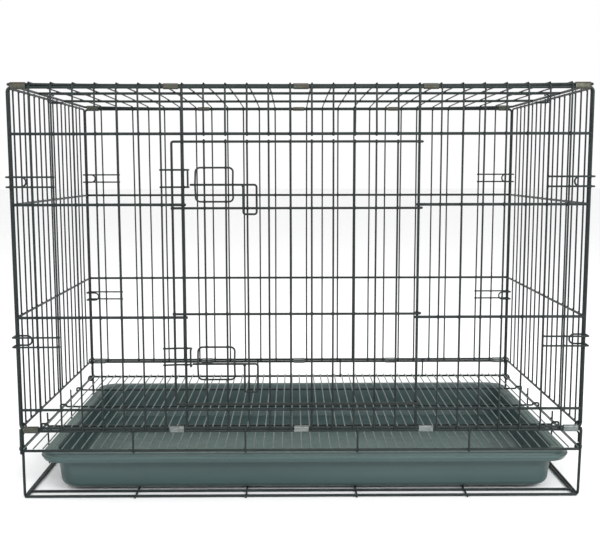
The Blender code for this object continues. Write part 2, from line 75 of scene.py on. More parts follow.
# ---- Places, read from the frame ----------------------------------------------------------------
def wire_places(node, axis, keep=None):
    """(middle, width) of the wires of a CAD grating that lie side by side along an axis."""
    co = [vertex.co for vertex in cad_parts[node].data.vertices]
    edges = sorted({round(point[axis], 5) for point in co if keep is None or keep(point)})
    merged = [edges[0]]
    for edge in edges[1:]:
        if edge - merged[-1] > 0.0002:
            merged.append(edge)
    return [((low + high) / 2, high - low) for low, high in zip(merged[::2], merged[1::2])]


def middles(node, axis, keep=None):
    return [middle for middle, _ in wire_places(node, axis, keep)]


def middle_of(node):
    low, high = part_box(node)
    return (low + high) / 2


LEFT_X = middles("front_panel_left", 0)
RIGHT_X = middles("front_panel_right", 0)
DOORWAY_X = middles("front_panel_header", 0)[1:-1]
ALL_X = middles("back_panel", 0)
FRONT_Z = middles("front_panel_left", 2)
BACK_Z = middles("back_panel", 2)
ROOF_Y = middles("roof_panel", 1)
END_Y = middles("left_end_panel", 1)
END_Z = middles("left_end_panel", 2)
Y_FRONT = middle_of("front_panel_left").y
Y_BACK = middle_of("back_panel").y
Y_MIDDLE = (Y_FRONT + Y_BACK) / 2
Z_ROOF = middle_of("roof_panel").z
X_EDGE = ALL_X[-1]
POST_LEFT, POST_RIGHT, BESIDE_DOOR = LEFT_X[-1], RIGHT_X[0], RIGHT_X[1]
Z_BOTTOM, Z_SILL, Z_LOWER, Z_UPPER, Z_HEADER, Z_TOP = FRONT_Z
UPRIGHT_OUT = RAIL_R + UPRIGHT_R - PRESSED        # from a rail's middle to an upright's


# ---- Round wires --------------------------------------------------------------------------------
class Wires:
    """Round wires and welds, collected as the mesh of one piece."""

    def __init__(self):
        self.points = []
        self.faces = []
        self.count = 0

    def _take(self, rings, closed, capped):
        """Adds rings of points as a tube."""
        sides = len(rings[0])
        base = self.count
        for ring in rings:
            self.points.extend(ring)
        self.count += sides * len(rings)
        spans = len(rings) if closed else len(rings) - 1
        for span in range(spans):
            here, there = base + span * sides, base + (span + 1) % len(rings) * sides
            for side in range(sides):
                after = (side + 1) % sides
                self.faces.append((here + side, here + after, there + after, there + side))
        if capped:
            last = base + (len(rings) - 1) * sides
            self.faces.append(tuple(base + side for side in reversed(range(sides))))
            self.faces.append(tuple(last + side for side in range(sides)))

    def wire(self, path, radius, closed=False, sides=SIDES, tips=(True, True)):
        """A round wire along a path, its free ends rounded where tips says so."""
        path = np.array([tuple(point) for point in path], float)
        along = np.roll(path, -1, 0) - np.roll(path, 1, 0) if closed else np.gradient(path, axis=0)
        along /= np.linalg.norm(along, axis=1)[:, None]
        radii = [radius] * len(path)
        if not closed:
            path, along, radii = self._round_ends(path, along, radii, radius, tips)
        side = np.cross(along[0], (0.0, 0.0, 1.0) if abs(along[0][2]) < 0.9 else (0.0, 1.0, 0.0))
        angles = np.linspace(0, 2 * math.pi, sides, endpoint=False)
        rings = []
        for place, direction, size in zip(path, along, radii):
            side = side - direction * np.dot(side, direction)
            side /= np.linalg.norm(side)
            other = np.cross(direction, side)
            ring = place + size * (np.cos(angles)[:, None] * side + np.sin(angles)[:, None] * other)
            rings.append([tuple(point) for point in ring])
        self._take(rings, closed, not closed)

    @staticmethod
    def _round_ends(path, along, radii, radius, tips):
        """Adds two narrowing rings beyond each end that has a rounded tip, to the path and its lists."""
        path, along = list(path), list(along)
        for end, wanted in ((0, tips[0]), (-1, tips[1])):
            if not wanted:
                continue
            outward = along[end] * (1 if end else -1)
            start = path[end]
            for reach, size in ((0.35, 0.86), (0.55, 0.50)):
                place = start + outward * radius * reach
                spot = len(path) if end else 0
                path.insert(spot, place)
                along.insert(spot, along[end])
                radii.insert(spot, radius * size)
        return path, along, radii

    def weld(self, place, first, second, first_r, second_r):
        """A small bead between two crossing wires; first and second are their directions."""
        first, second = Vector(first), Vector(second)
        normal = first.cross(second).normalized()
        long, wide = second_r * WELD_REACH, first_r * WELD_REACH
        deep = min(first_r, second_r) * WELD_DEPTH
        rings = []
        rows, sides = 4, 8
        for row in range(1, rows):
            lean = math.pi * row / rows
            ring = []
            for side in range(sides):
                turn = 2 * math.pi * side / sides
                ring.append(tuple(Vector(place) + first * long * math.sin(lean) * math.cos(turn)
                                  + second * wide * math.sin(lean) * math.sin(turn)
                                  - normal * deep * math.cos(lean)))
            rings.append(ring)
        self._take(rings, False, True)

    def piece(self, name, node, body, material):
        """The collected mesh as a piece that stands for a CAD node."""
        mesh = bpy.data.meshes.new(name)
        mesh.from_pydata(self.points, [], self.faces)
        mesh.shade_smooth()
        mesh.set_sharp_from_angle(angle=math.radians(50))
        return place_piece(bpy.data.objects.new(name, mesh), node, body, material)


def place_piece(thing, node, body, material):
    thing.data.materials.append(material)
    bpy.context.scene.collection.objects.link(thing)
    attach(thing, body)
    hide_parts(node)
    return thing


STEP_LENGTH = 0.045        # between the points of a nearly straight wire


def straight(start, end, bow=BOW):
    """Points of a nearly straight wire that wanders a little between its ends."""
    start, end = Vector(start), Vector(end)
    along = (end - start).normalized()
    side = along.orthogonal().normalized()
    other = along.cross(side)
    steps = max(2, round((end - start).length / STEP_LENGTH))
    lean, lift = RANDOM.uniform(-bow, bow), RANDOM.uniform(-bow, bow)
    waves, phase = RANDOM.choice((1, 2, 3)), RANDOM.uniform(0, math.pi)
    points = []
    for step in range(steps + 1):
        share = step / steps
        hold = math.sin(math.pi * share)
        wave = math.sin(math.pi * waves * share + phase)
        points.append(start.lerp(end, share) + side * lean * hold + other * lift * hold * wave)
    return points


def bend(corners, radius, steps=5):
    """A path through the corners, each inner one rounded to the radius."""
    corners = [Vector(corner) for corner in corners]
    path = [corners[0]]
    for before, corner, after in zip(corners, corners[1:], corners[2:]):
        path += corner_points(before, corner, after, radius, steps)
    return path + [corners[-1]]


def bend_loop(corners, radius, steps=5):
    """A closed path through the corners, all rounded."""
    corners = [Vector(corner) for corner in corners]
    path = []
    for number, corner in enumerate(corners):
        path += corner_points(corners[number - 1], corner, corners[(number + 1) % len(corners)],
                              radius, steps)
    return path


def corner_points(before, corner, after, radius, steps):
    """Points of the circular bend at one corner."""
    into, out = (corner - before).normalized(), (after - corner).normalized()
    turn = into.angle(out)
    if turn < 1e-4:
        return [corner]
    reach = radius * math.tan(turn / 2)
    start = corner - into * reach
    axis = into.cross(out).normalized()
    centre = start + axis.cross(into) * radius
    return [centre + Matrix.Rotation(turn * step / steps, 3, axis) @ (start - centre)
            for step in range(steps + 1)]


# ---- Panels -------------------------------------------------------------------------------------
class Plane:
    """A panel's own directions: u and v lie in it, w points out of the cage."""

    def __init__(self, origin, u, v, w):
        self.origin, self.u, self.v, self.w = Vector(origin), Vector(u), Vector(v), Vector(w)

    def at(self, u, v, w=0.0):
        return self.origin + self.u * u + self.v * v + self.w * w


FRONT = Plane((0, Y_FRONT, 0), (1, 0, 0), (0, 0, 1), (0, -1, 0))
BACK = Plane((0, Y_BACK, 0), (1, 0, 0), (0, 0, 1), (0, 1, 0))
ROOF = Plane((0, 0, Z_ROOF), (1, 0, 0), (0, 1, 0), (0, 0, 1))


def end_plane(sign):
    return Plane((sign * X_EDGE, 0, 0), (0, 1, 0), (0, 0, 1), (sign, 0, 0))


def add_uprights(wires, plane, places, heights, radius, rail_radius, low_tip=TIP, high_tip=TIP, bow=BOW):
    """Upright wires on the outside of rails, with a weld on every rail."""
    out = rail_radius + radius - PRESSED
    for place in places:
        sway = RANDOM.uniform(-bow, bow)
        low = plane.at(place + sway, heights[0] - low_tip * RANDOM.uniform(0.6, 1.1), out)
        high = plane.at(place - sway, heights[-1] + high_tip * RANDOM.uniform(0.6, 1.1), out)
        wires.wire(straight(low, high, bow), radius)
        for height in heights:
            spot = plane.at(place, height, rail_radius - PRESSED / 2)
            wires.weld(spot, plane.v, plane.u, radius, rail_radius)


def add_rail(wires, plane, left, right, height, radius, tips=(True, True)):
    wires.wire(straight(plane.at(left, height), plane.at(right, height), BOW / 2), radius, tips=tips)


POST_WELD = (POST_R * 1.1, RAIL_R * 0.66)      # small, so that the door's eyes turn clear of it


def front_panel(material):
    """The welded front panel, in the four pieces that its CAD nodes give."""
    heights = [Z_BOTTOM, Z_SILL, Z_LOWER, Z_UPPER, Z_HEADER, Z_TOP]
    for name, places, post, edge in (("front_panel_left", LEFT_X, POST_LEFT, -X_EDGE),
                                     ("front_panel_right", RIGHT_X, POST_RIGHT, X_EDGE)):
        wires = Wires()
        frame_wire = [FRONT.at(post, Z_TOP), FRONT.at(edge, Z_TOP), FRONT.at(edge, Z_BOTTOM),
                      FRONT.at(post, Z_BOTTOM)]
        wires.wire(bend(frame_wire, CORNER), RAIL_R, tips=(False, False))
        for height in heights[1:-1]:
            past = 0 if height in (Z_SILL, Z_HEADER) else math.copysign(TIP, post - edge)
            add_rail(wires, FRONT, edge, post + past, height, RAIL_R)
            wires.weld(FRONT.at(post, height), FRONT.v, FRONT.u, *POST_WELD)
        wires.wire(straight(FRONT.at(post, Z_BOTTOM), FRONT.at(post, Z_TOP), 0), POST_R)
        inner = [place for place in places if place not in (post, places[0], places[-1], BESIDE_DOOR)]
        add_uprights(wires, FRONT, inner, heights, UPRIGHT_R, RAIL_R)
        if BESIDE_DOOR in places:
            add_uprights(wires, FRONT, [BESIDE_DOOR], heights, BESIDE_DOOR_R, RAIL_R, bow=0.0)
        wires.piece(name.replace("front_panel", "front_wires"), name, "root", material)
    for name, low, high in (("front_panel_header", Z_HEADER, Z_TOP),
                            ("front_panel_sill", Z_BOTTOM, Z_SILL)):
        wires = Wires()
        for height in (low, high):
            add_rail(wires, FRONT, POST_LEFT, POST_RIGHT, height, RAIL_R, tips=(False, False))
        add_uprights(wires, FRONT, DOORWAY_X, [low, high], UPRIGHT_R, RAIL_R)
        wires.piece(name.replace("front_panel", "front_wires"), name, "root", material)


def closed_panel(name, node, body, plane, places, heights, radii, corner, material):
    """A panel with a bent frame wire, cross rails and uprights."""
    rail_r, upright_r = radii
    wires = Wires()
    low, high, bottom, top = places[0], places[-1], heights[0], heights[-1]
    corners = [plane.at(low, bottom), plane.at(high, bottom), plane.at(high, top), plane.at(low, top)]
    wires.wire(bend_loop(corners, corner), rail_r, closed=True)
    for height in heights[1:-1]:
        add_rail(wires, plane, low, high, height, rail_r)
    add_uprights(wires, plane, places[1:-1], heights, upright_r, rail_r)
    return wires.piece(name, node, body, material)


ROOF_GAP = Z_ROOF - Z_TOP      # from a panel's top rail up to the roof's rail on it
ROOF_LEANS = ((ROOF_Y[0], 1, 52), (ROOF_Y[-1], -1, 76))     # edge, inwards, degrees at the middle
CROSS_SAG = 0.0009             # of the roof's further cross wire


def settled(x, y):
    """A point of the roof's frame wire: away from the corners its long rails lie further in and lower."""
    hold = 1 - abs(x / X_EDGE) ** 5
    place = Vector((x, y, Z_ROOF))
    for edge, inwards, lean in ROOF_LEANS:
        angle = math.radians(lean) * hold * max(0.0, 1 - abs(y - edge) / CORNER)
        place += Vector((0, inwards * ROOF_GAP * math.sin(angle), ROOF_GAP * (math.cos(angle) - 1)))
    if y == ROOF_Y[2]:
        place.z -= CROSS_SAG * hold
    return place


def roof_panel(material):
    """The roof: front-to-back wires on top of the frame wire and two cross wires."""
    wires = Wires()
    near, far = ROOF_Y[0], ROOF_Y[-1]
    corners = [ROOF.at(-X_EDGE, near), ROOF.at(X_EDGE, near), ROOF.at(X_EDGE, far), ROOF.at(-X_EDGE, far)]
    path = bend_loop(corners, CORNER)
    arc = len(path) // 4
    front = [ROOF.at(x, near) for x in ALL_X[1:-1]]
    back = [ROOF.at(x, far) for x in reversed(ALL_X[1:-1])]
    path = path[:arc] + front + path[arc:3 * arc] + back + path[3 * arc:]
    wires.wire([settled(point.x, point.y) for point in path], RAIL_R, closed=True)
    for depth in ROOF_Y[1:-1]:
        wires.wire([settled(x, depth) for x in ALL_X], RAIL_R)
    for x in ALL_X[1:-1]:
        roof_wire(wires, x + RANDOM.uniform(-0.0003, 0.0003))
    wires.piece("roof_wires", "roof_panel", "root", material)


def roof_wire(wires, x):
    """One front-to-back wire, lying on every rail it crosses."""
    up = Vector((0, 0, RAIL_R + ROOF_WIRE_R - PRESSED))
    rails = [settled(x, depth) for depth in ROOF_Y]
    low_tip, high_tip = (Vector((0, TIP * RANDOM.uniform(0.6, 1.0), 0)) for _ in range(2))
    path = [rails[0] - low_tip + up] + [rail + up for rail in rails] + [rails[-1] + high_tip + up]
    wires.wire(bend(path, 0.030), ROOF_WIRE_R)
    for rail in rails:
        spot = rail + Vector((0, 0, RAIL_R - PRESSED / 2))
        wires.weld(spot, ROOF.v, ROOF.u, ROOF_WIRE_R, RAIL_R)


# ---- Hooks --------------------------------------------------------------------------------------
HOOK_HALF = 0.0065         # half of the way between a hook's prongs
HOOK_TIP = 0.0046          # how far its turn stands past the panel's edge
HOOK_BIGHT = 0.0170        # how far its bight reaches back from the edge
HOOK_END = 0.0060          # how much shorter its prongs are than its whole length
HOOK_LIFT = 0.0012         # how far its prongs stand off the panel at the turn
HOOK_BEND = 0.0022


def hook(name, plane, u_edge, sign, v_middle, inside, material, prong_out):
    """A hook of one bent wire: two prongs on a panel's outside, a turn, and a bight inside."""
    low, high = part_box(name)
    start = u_edge - sign * (max(high - low) - HOOK_END)
    tip, bight = u_edge + sign * HOOK_TIP, u_edge - sign * HOOK_BIGHT
    prongs = []
    for v in (v_middle + HOOK_HALF, v_middle - HOOK_HALF):
        corners = [plane.at(start, v, prong_out), plane.at(tip, v, prong_out + HOOK_LIFT),
                   plane.at(tip, v, -inside), plane.at(bight, v, -inside)]
        prongs.append(bend(corners, HOOK_BEND)[:-1])
    centre = plane.at(bight + sign * HOOK_HALF, v_middle, -inside)
    turn = []
    for step in range(9):
        angle = math.radians(90 + 22.5 * step)
        turn.append(centre + plane.v * HOOK_HALF * math.sin(angle)
                    + plane.u * sign * HOOK_HALF * math.cos(angle))
    wires = Wires()
    wires.wire(prongs[0] + turn + prongs[1][::-1], LOOP_R)
    for number in range(3):
        place = u_edge - sign * number * (ALL_X[1] - ALL_X[0])
        for offset in (HOOK_HALF, -HOOK_HALF):
            spot = plane.at(place, v_middle + offset, prong_out - LOOP_R)
            wires.weld(spot, plane.u, plane.v, LOOP_R, UPRIGHT_R)
    wires.piece(name + "_wire", name, "root", material)


def all_hooks(material):
    prong_out = UPRIGHT_OUT + UPRIGHT_R + LOOP_R - PRESSED
    for face, plane in (("front", FRONT), ("back", BACK)):
        for side, sign in (("left", -1), ("right", 1)):
            for level in ("lower", "upper"):
                name = f"hook_{face}_{side}_{level}"
                low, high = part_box(name)
                deepest = high.y if face == "front" else low.y
                inside = abs(deepest - plane.origin.y) - LOOP_R
                hook(name, plane, sign * X_EDGE, sign, middle_of(name).z, inside, material, prong_out)
    for side, sign in (("left", -1), ("right", 1)):
        name = f"roof_hook_{side}"
        inside = Z_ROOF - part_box(name)[0].z - LOOP_R
        on_roof = prong_out - 2 * (UPRIGHT_R - ROOF_WIRE_R)
        hook(name, ROOF, sign * X_EDGE, sign, middle_of(name).y, inside, material, on_roof)


# ---- Clips and eyes -----------------------------------------------------------------------------
CLIP_SHEET = 0.0007
WAIST = 0.90               # the sheet is pinched between its two rails
CLIP_WALL = 0.975          # of the CAD clip's half thickness, between its rolled ends


def clip(name, material):
    """A sheet sleeve closed round two rails, pinched between them, with rolled ends."""
    low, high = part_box(name)
    centre, size = (low + high) / 2, high - low
    radius = size.y / 2
    straight_part = size.z / 2 - radius
    upwards = Vector((0, 0, 1))
    if "_roof_" in name:
        panel_rail = Vector((centre.x, Y_FRONT if "_front_" in name else Y_BACK, Z_TOP))
        roof_rail = settled(centre.x, ROOF_Y[0] if "_front_" in name else ROOF_Y[-1])
        centre, upwards = (panel_rail + roof_rail) / 2, (roof_rail - panel_rail).normalized()
    across = upwards.cross(Vector((1, 0, 0)))
    outline = []
    for lift, start in ((straight_part, 0), (-straight_part, 180)):
        for step in range(9):
            angle = math.radians(start + 180 * step / 8)
            outline.append((radius * math.cos(angle), lift + radius * math.sin(angle)))
        sign = -1 if lift > 0 else 1
        for share in (0.6, 0.0, -0.6):
            pinch = WAIST + (1 - WAIST) * abs(share)
            outline.append((sign * radius * pinch, lift * share))
    count = len(outline)
    slant = RANDOM.uniform(-0.0004, 0.0004)
    stations = (-1, -0.96, -0.7, -0.25, 0.25, 0.7, 0.96, 1)
    points, faces = [], []
    for station in stations:
        flare = 1.0 if abs(station) > 0.98 else CLIP_WALL
        for wide, tall in outline:
            along = Vector((station * size.x / 2 + slant * tall / radius, 0, 0))
            points.append(tuple(centre + along + across * wide * flare + upwards * tall * flare))
    for row in range(len(stations) - 1):
        for number in range(count):
            after = (number + 1) % count
            faces.append((row * count + number, row * count + after,
                          (row + 1) * count + after, (row + 1) * count + number))
    mesh = bpy.data.meshes.new(name + "_sheet")
    mesh.from_pydata(points, [], faces)
    mesh.shade_smooth()
    thing = bpy.data.objects.new(name + "_sheet", mesh)
    shell = thing.modifiers.new("sheet", "SOLIDIFY")
    shell.thickness = CLIP_SHEET
    shell.offset = -1
    rounding = thing.modifiers.new("rolled_edges", "BEVEL")
    rounding.width = 0.00018
    rounding.segments = 2
    rounding.limit_method = "ANGLE"
    place_piece(thing, name, "root", material)


def all_clips(bright, tarnished):
    """The clips: tarnished on the roof and at the base's front left corner, bright elsewhere."""
    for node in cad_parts:
        if node.startswith("clip_"):
            dull = "_roof_" in node or node == "clip_front_base_1"
            clip(node, tarnished if dull else bright)


def end_eye(side, sign, face, material):
    """A wire behind the leg that closes round the end panel's bottom rail."""
    name = f"end_eye_{side}_{face}"
    low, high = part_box(name)
    inwards = 1 if face == "front" else -1
    foot_y = (low.y if inwards > 0 else high.y) + inwards * LOOP_R
    eye_y = (high.y if inwards > 0 else low.y) - inwards * LOOP_R
    radius = (high.x - low.x) / 2 - LOOP_R
    x, z = sign * X_EDGE, END_Z[0]
    path = [(x, foot_y, low.z), (x, foot_y, low.z + 0.012), (x - sign * radius, eye_y, z - 0.0045),
            (x - sign * radius, eye_y, z)]
    path = bend(path, 0.0035)
    for step in range(1, 25):
        angle = math.radians(280 * step / 24)
        path.append(Vector((x - sign * radius * math.cos(angle), eye_y, z + radius * math.sin(angle))))
    wires = Wires()
    wires.wire(path, LOOP_R)
    wires.piece(name + "_wire", name, "root", material)


# ---- Door and latches ---------------------------------------------------------------------------
HINGE = Vector((POST_RIGHT, Y_FRONT, 0))
DOOR_PLANE = Plane((0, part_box("door")[0].y + DOOR_RAIL_R, 0), (1, 0, 0), (0, 0, 1), (0, -1, 0))
EYE_TURN = 290             # degrees that a door rail's end turns round the post


def eye_path(height, start):
    """A rail's right end: it runs to the post and closes round it."""
    radius = HINGE.y - DOOR_PLANE.origin.y
    path = [Vector((start, DOOR_PLANE.origin.y, height))]
    for step in range(13):
        angle = math.radians(-90 + EYE_TURN * step / 12)
        path.append(Vector((HINGE.x + radius * math.cos(angle), HINGE.y + radius * math.sin(angle),
                            height)))
    return path


def door(material):
    """The door: a bent frame wire, two cross rails and uprights, hung on the post by four eyes."""
    first_x = middles("door", 0, keep=lambda p: p.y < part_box("door")[0].y + 0.0001)[0]
    low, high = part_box("door")
    rails = middles("door", 2, keep=lambda p: p.x < first_x + 0.01 and p.y < low.y + 0.0001)
    rail_z = [low.z + DOOR_RAIL_R, rails[1], rails[2], high.z - DOOR_RAIL_R]
    wires = Wires()
    bottom, top = eye_path(rail_z[0], first_x + 0.02), eye_path(rail_z[3], first_x + 0.02)
    corners = [DOOR_PLANE.at(first_x + 0.02, rail_z[0]), DOOR_PLANE.at(first_x, rail_z[0]),
               DOOR_PLANE.at(first_x, rail_z[3]), DOOR_PLANE.at(first_x + 0.02, rail_z[3])]
    wires.wire(list(reversed(bottom[1:])) + bend(corners, 0.0026) + top[1:], DOOR_RAIL_R)
    for height in rail_z[1:3]:
        wires.wire(eye_path(height, first_x - 0.0012), DOOR_RAIL_R)
        wires.weld(DOOR_PLANE.at(first_x, height), FRONT.v, FRONT.u, DOOR_RAIL_R, DOOR_RAIL_R)
    inner = Plane(DOOR_PLANE.origin, DOOR_PLANE.u, DOOR_PLANE.v, -DOOR_PLANE.w)
    add_uprights(wires, inner, DOORWAY_X, rail_z, UPRIGHT_R, DOOR_RAIL_R)
    wires.piece("door_wires", "door", "door", material)


def latch_bolt(level, material):
    node = f"latch_rod_{level}"
    low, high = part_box(node)
    rod = middle_of(node)
    wires = Wires()
    wires.wire(straight((low.x + BOLT_R * 0.4, rod.y, rod.z), (high.x, rod.y, rod.z), 0), BOLT_R,
               tips=(True, False))
    wires.piece(f"latch_bolt_{level}", node, node, material)


def latch_loop(level, material):
    """The bolt's wire, turned down into a loop that closes on the bolt again."""
    node = f"latch_handle_{level}"
    low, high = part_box(node)
    rod = middle_of(f"latch_rod_{level}")
    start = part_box(f"latch_rod_{level}")[1].x + 0.0001
    left, right, floor = low.x + LOOP_R, high.x - LOOP_R, low.z + LOOP_R
    loop = [(start, rod.y, rod.z), (right, rod.y, rod.z), (right, rod.y, floor),
            (left, rod.y, floor), (left, rod.y, rod.z - BOLT_R * 0.6)]
    wires = Wires()
    wires.wire(bend(loop, 0.0032), BOLT_R * 0.94, tips=(False, True))
    wires.weld((left, rod.y, rod.z - BOLT_R), (0, 0, 1), (1, 0, 0), LOOP_R, BOLT_R)
    wires.piece(f"latch_loop_{level}", node, node, material)


def latch_ring(level, material):
    """The wire ring on the door whose sides lean out over the bolt."""
    low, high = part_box(f"latch_guide_{level}")
    rod = middle_of(f"latch_rod_{level}")
    left, right = low.x + LOOP_R, high.x - LOOP_R
    bottom, top = low.z + LOOP_R, high.z - LOOP_R
    on_door = DOOR_PLANE.origin.y + DOOR_RAIL_R * 0.2
    arch = rod.y - BOLT_R - 0.0007 - LOOP_R
    ring = [(left, on_door, bottom), (left, arch, rod.z - 0.0030), (left, arch, rod.z + 0.0030),
            (left, on_door, top)]
    ring += [(right, y, z) for _, y, z in reversed(ring)]
    wires = Wires()
    wires.wire(guide_loop(ring), LOOP_R, closed=True)
    for place in DOORWAY_X[:2]:
        for height in (bottom, top):
            wires.weld((place, on_door + LOOP_R, height), (0, 0, 1), (1, 0, 0), UPRIGHT_R, LOOP_R)
    wires.piece(f"latch_ring_{level}", f"latch_guide_{level}", "door", material)


def latch_staple(level, material):
    """The keeper: two prongs that pass behind the doorway's post, and a bar before it."""
    low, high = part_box(f"latch_keeper_{level}")
    start, bar = low.x, high.x - LOOP_R
    bottom, top = low.z + LOOP_R, high.z - LOOP_R
    behind, before = Y_FRONT + POST_R + LOOP_R, low.y + LOOP_R
    near = Y_FRONT - UPRIGHT_OUT + UPRIGHT_R + LOOP_R
    prong = [(start, near, 0), (POST_LEFT - 0.010, behind, 0), (bar, behind, 0), (bar, before, 0)]
    path = [(x, y, top) for x, y, _ in prong] + [(x, y, bottom) for x, y, _ in reversed(prong)]
    wires = Wires()
    wires.wire(bend(path, 0.0021), LOOP_R)
    for height in (bottom, top):
        wires.weld((POST_LEFT, behind - LOOP_R, height), (1, 0, 0), (0, 0, 1), LOOP_R, POST_R)
    wires.piece(f"latch_staple_{level}", f"latch_keeper_{level}", "root", material)


def guide_loop(ring):
    """The guide's closed path: its four corners are round, its bends beside the bolt tighter."""
    ring = [Vector(point) for point in ring]
    path = []
    for number, corner in enumerate(ring):
        before, after = ring[number - 1], ring[(number + 1) % len(ring)]
        radius = 0.0060 if number in (0, 3, 4, 7) else 0.0020
        path += corner_points(before, corner, after, radius, 5)
    return path


# ---- Base ---------------------------------------------------------------------------------------
Z_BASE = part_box("base_front_band")[1].z - 0.0018
Z_FLOOR_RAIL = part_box("base_front_band")[0].z + 0.0018
TIES_X = middles("base_front_band", 0)[1:-1]
LEG_X = X_EDGE - 0.0008
BAND_X = X_EDGE + 0.0014
BAND_TURN = 0.0085         # how far a band's rails run on round the corner
BAND_BEND = 0.0065
POST_SHIFT = 0.0008        # a band's corner wire stands this far inside its rails' turn
LEG_LEAN = {"left": 0.0, "right": 0.0030}     # how far the legs' tops lean outwards
CURL_R, CURL_WIRE_R = 0.0041, 0.00155
Z_FOOT_WELD = RAIL_R * 1.85     # high enough that the bead stays clear of the ground
RUNNER_R = 0.00180
Z_RUNNER = 0.0022          # middle of the rack's rails; its depth wires are sunk into them from below


def base_band(name, node, plane, material):
    """Two rails that turn round the corners, short corner wires and ties on the outside."""
    wires = Wires()
    for height in (Z_FLOOR_RAIL, Z_BASE):
        path = [plane.at(-BAND_X, height, -BAND_TURN), plane.at(-BAND_X, height),
                plane.at(BAND_X, height), plane.at(BAND_X, height, -BAND_TURN)]
        wires.wire(bend(path, BAND_BEND), RAIL_R, tips=(False, False))
    for sign in (-1, 1):
        x = sign * (BAND_X - POST_SHIFT)
        wires.wire(straight(plane.at(x, Z_FLOOR_RAIL - 0.004, -0.0006),
                            plane.at(x, Z_BASE + 0.002, -0.0006), 0), RAIL_R)
    add_uprights(wires, plane, TIES_X, [Z_FLOOR_RAIL, Z_BASE], UPRIGHT_R, RAIL_R, TIP * 0.5, TIP * 0.6)
    wires.piece(name, node, "root", material)


def curl(wires, sign, y, along):
    """The end of a leg's wire, wound once and a half round the floor rail."""
    path = []
    for step in range(37):
        share = step / 36
        angle = math.radians(150 + 560 * share)
        radius = CURL_R * (1 - 0.12 * math.sin(math.pi * share))
        path.append((sign * (BAND_X + 0.0002) + sign * radius * math.cos(angle),
                     y + along * 0.0052 * share, Z_FLOOR_RAIL + radius * math.sin(angle)))
    wires.wire(path, CURL_WIRE_R)


def base_frame(side, sign, material):
    """A side frame: legs bent into the bottom rail, floor rail, two inner posts and corner curls."""
    node = f"base_{side}_frame"
    low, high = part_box(node)
    near, far = low.y + RAIL_R, high.y - RAIL_R
    lean = LEG_LEAN[side]
    wires = Wires()
    foot, top = (LEG_X + lean * 0.5) * sign, (LEG_X + lean) * sign
    loop = [(top, near, Z_BASE - 0.002), (foot, near, RAIL_R), (foot, far, RAIL_R),
            (top, far, Z_BASE - 0.002)]
    wires.wire(bend(loop, 0.0060), RAIL_R)
    rail = sign * BAND_X
    wires.wire(straight((rail, Y_FRONT + BAND_TURN, Z_FLOOR_RAIL),
                        (rail, Y_BACK - BAND_TURN, Z_FLOOR_RAIL), 0), RAIL_R, tips=(False, False))
    post_x = sign * (BAND_X + RAIL_R + UPRIGHT_R - PRESSED)
    for share in (1 / 3, 2 / 3):
        y = near + (far - near) * share
        wires.wire(straight((post_x, y, 0.0016), (post_x + sign * 0.0004, y, high_post(node)), 0),
                   UPRIGHT_R)
        for height, x in ((Z_FLOOR_RAIL, rail + sign * RAIL_R), (Z_FOOT_WELD, foot + sign * RAIL_R)):
            wires.weld((x, y, height), (0, 0, 1), (0, 1, 0), UPRIGHT_R, RAIL_R)
    curl(wires, sign, near + 0.0050, 1)
    curl(wires, sign, far - 0.0050, -1)
    wires.piece(f"base_{side}_wires", node, "root", material)


def high_post(node):
    """Top of a side frame's inner posts."""
    inner = [v.co.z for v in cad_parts[node].data.vertices if abs(v.co.y - Y_MIDDLE) < 0.1]
    return max(inner)


def tray_rack(material):
    """Rails across the bottom, side rails and front-to-back wires whose ends stand out."""
    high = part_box("tray_rack")[1]
    side = high.x - RUNNER_R
    rows = middles("tray_rack", 1)
    wires = Wires()
    for row in rows:
        wires.wire(straight((-side - TIP, row, Z_RUNNER), (side + TIP, row, Z_RUNNER), BOW / 2), RUNNER_R)
    for sign in (-1, 1):
        wires.wire(straight((sign * side, rows[0], Z_RUNNER), (sign * side, rows[-1], Z_RUNNER), 0),
                   RUNNER_R * 0.94)
    z_wire = UPRIGHT_R + 0.0001
    for x in middles("tray_rack", 0)[1:-1]:
        ends = (rows[0] - RUNNER_R - TIP, rows[-1] + RUNNER_R + TIP)
        wires.wire(straight((x, ends[0], z_wire), (x, ends[1], z_wire), 0), UPRIGHT_R)
        for row in rows:
            wires.weld((x, row, Z_RUNNER), (0, 1, 0), (1, 0, 0), UPRIGHT_R, RUNNER_R * 1.1)
    wires.piece("tray_rack_wires", "tray_rack", "root", material)


STIFFENER_HOOK = 0.0046    # how far a stiffener's end rises over the side rail before it turns down


